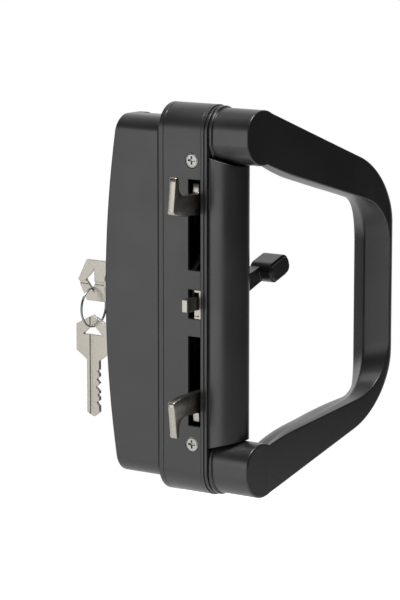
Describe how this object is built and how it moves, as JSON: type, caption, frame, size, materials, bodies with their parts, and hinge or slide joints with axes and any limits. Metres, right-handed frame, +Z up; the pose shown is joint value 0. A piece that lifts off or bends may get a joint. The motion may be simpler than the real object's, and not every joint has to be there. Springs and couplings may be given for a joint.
{
  "type": "sliding door handle with lock",
  "caption": "Sliding patio door handle: D grip inside, flush pull and key cylinder outside, and a lock case whose hooks a thumb lever or the key throws.",
  "frame": {"origin": "centre of the lock case's flat back face, which seats on the door's edge", "axes": "+Z up, +Y into the door from its edge, +X through the door towards the grip side"},
  "size_m": [0.1319, 0.1447, 0.2],
  "materials": {
    "black_coat": "satin black powder coat",
    "nickel": "satin nickel",
    "steel": "bright steel",
    "zinc": "zinc plated"
  },
  "bodies": {
    "case": {"lock_case": "black_coat", "inside_base": "black_coat", "lever_cover": "black_coat", "inside_handle": "black_coat", "outside_base": "black_coat", "outside_pull": "black_coat", "cylinder_body": "nickel", "cylinder_ring": "nickel", "hook_pins": "steel", "trigger_guide": "nickel", "trigger_spring": "steel", "spindle_washer": "steel", "case_screws": "zinc", "handle_bolts": "zinc", "pull_screws": "zinc", "cover_screws": "zinc"},
    "lever": {"thumb_lever": "black_coat", "lever_spindle": "steel", "hook_cam": "steel", "spindle_clip": "steel"},
    "plug": {"cylinder_plug": "nickel", "tailpiece": "steel", "key_in_lock": "nickel"},
    "ring": {"key_ring": "steel", "spare_key": "nickel"},
    "upper_hook": {"hook_upper": "nickel"},
    "lower_hook": {"hook_lower": "nickel"},
    "upper_link": {"link_upper": "steel"},
    "lower_link": {"link_lower": "steel"},
    "trigger_bar": {"trigger": "nickel"}
  },
  "joints": [
    {"name": "thumb_lever_turn", "type": "hinge", "parent": "case", "child": "lever", "pos_m": [0, -0.0135, 0.0035], "axis": [1, 0, 0], "range_deg": [-60, 0]},
    {"name": "key_turn", "type": "hinge", "parent": "case", "child": "plug", "pos_m": [-0.03, -0.0135, 0.0035], "axis": [1, 0, 0], "range_deg": [-60, 0]},
    {"name": "ring_swing", "type": "hinge", "parent": "plug", "child": "ring", "pos_m": [-0.066, -0.0135, -0.00329], "axis": [1, 0, 0], "range_deg": [0, 60]},
    {"name": "upper_hook_swing", "type": "hinge", "parent": "case", "child": "upper_hook", "pos_m": [0.0077, -0.012, 0.053], "axis": [1, 0, 0], "range_deg": [0, 90]},
    {"name": "lower_hook_swing", "type": "hinge", "parent": "case", "child": "lower_hook", "pos_m": [0.0077, -0.012, -0.053], "axis": [1, 0, 0], "range_deg": [-90, 0]},
    {"name": "upper_link_slide", "type": "slide", "parent": "case", "child": "upper_link", "axis": [0, 0, 1], "range_m": [0, 0.00849]},
    {"name": "lower_link_slide", "type": "slide", "parent": "case", "child": "lower_link", "axis": [0, 0, 1], "range_m": [-0.0085, 0]},
    {"name": "trigger_press", "type": "slide", "parent": "case", "child": "trigger_bar", "axis": [0, 1, 0], "range_m": [0, 0.0055], "stiffness_N_per_m": 250, "springref_m": -0.004, "deforming": ["trigger_spring"]}
  ],
  "couplings": [
    {"joint": "thumb_lever_turn", "follows": "upper_link_slide", "rad_per_m": -123.41},
    {"joint": "key_turn", "follows": "upper_link_slide", "rad_per_m": -123.41},
    {"joint": "ring_swing", "follows": "upper_link_slide", "rad_per_m": 123.41},
    {"joint": "upper_hook_swing", "follows": "upper_link_slide", "rad_per_m": 185.12},
    {"joint": "lower_hook_swing", "follows": "upper_link_slide", "rad_per_m": -185.12},
    {"joint": "lower_link_slide", "follows": "upper_link_slide", "ratio": -1}
  ]
}
